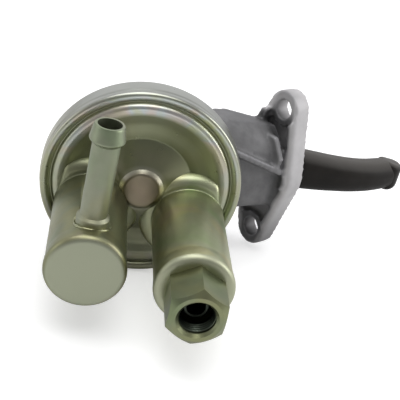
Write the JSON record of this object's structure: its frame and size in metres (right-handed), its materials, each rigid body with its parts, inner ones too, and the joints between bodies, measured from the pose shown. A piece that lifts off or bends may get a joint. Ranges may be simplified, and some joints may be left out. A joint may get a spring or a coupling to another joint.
{
  "type": "mechanical diaphragm fuel pump",
  "caption": "Lever-worked diaphragm fuel pump with a diamond mounting flange, drawn inlet and outlet canisters, a beaded hose nipple and a hexagon flare outlet.",
  "frame": {"origin": "centre of the mounting flange's engine side, midway between its bolt holes", "axes": "+X out of the flange into the engine, +Z along the bolt line and the lever's pin"},
  "size_m": [0.2034, 0.129, 0.0894],
  "materials": {
    "cast_aluminium": "as cast",
    "dark_steel": "dark phosphate",
    "plain_steel": "satin",
    "spring_steel": "oiled",
    "yellow_zinc": "satin yellow passivated zinc",
    "rubbered_cloth": "matt",
    "seal_rubber": "matt",
    "valve_brass": "plain"
  },
  "bodies": {
    "root": {"body_casting": "cast_aluminium", "pivot_pin": "plain_steel", "pivot_plugs": "plain_steel", "return_spring": "spring_steel", "diaphragm": "rubbered_cloth", "main_spring": "spring_steel", "oil_seal": "seal_rubber", "seal_retainer": "plain_steel", "stamped_cover": "yellow_zinc", "inlet_canister": "yellow_zinc", "outlet_canister": "yellow_zinc", "hose_nipple": "yellow_zinc", "outlet_fitting": "yellow_zinc", "inlet_valve_seat": "valve_brass", "inlet_valve_spring": "spring_steel", "outlet_valve_seat": "valve_brass", "outlet_valve_spring": "spring_steel"},
    "rocker": {"rocker_arm": "dark_steel"},
    "link": {"link_lever": "plain_steel"},
    "rod": {"pull_rod": "plain_steel", "spring_plate": "plain_steel", "fuel_plate": "plain_steel"},
    "inlet_disc": {"inlet_valve_disc": "seal_rubber"},
    "outlet_disc": {"outlet_valve_disc": "seal_rubber"}
  },
  "joints": [
    {"name": "rocker_pivot", "type": "hinge", "parent": "root", "child": "rocker", "pos_m": [-0.02167, 0.00709, 0], "axis": [0, 0, -1], "range_deg": [0, 7], "stiffness_Nm_per_rad": 2, "springref_deg": -14.32, "deforming": ["return_spring"]},
    {"name": "link_pivot", "type": "hinge", "parent": "root", "child": "link", "pos_m": [-0.02167, 0.00709, 0], "axis": [0, 0, -1], "range_deg": [0, 7]},
    {"name": "diaphragm_stroke", "type": "slide", "parent": "root", "child": "rod", "axis": [0.5878, 0.809, 0], "range_m": [0, 0.00563], "stiffness_N_per_m": 400, "springref_m": -0.004, "deforming": ["main_spring", "diaphragm"]},
    {"name": "inlet_valve_lift", "type": "slide", "parent": "root", "child": "inlet_disc", "axis": [0.5878, 0.809, 0], "range_m": [0, 0.0012], "stiffness_N_per_m": 30, "springref_m": -0.0006, "deforming": ["inlet_valve_spring"]},
    {"name": "outlet_valve_lift", "type": "slide", "parent": "root", "child": "outlet_disc", "axis": [-0.5878, -0.809, 0], "range_m": [0, 0.0012], "stiffness_N_per_m": 30, "springref_m": -0.0006, "deforming": ["outlet_valve_spring"]}
  ],
  "couplings": [
    {"joint": "link_pivot", "follows": "rocker_pivot", "ratio": 1},
    {"joint": "diaphragm_stroke", "follows": "rocker_pivot", "m_per_rad": 0.046}
  ]
}
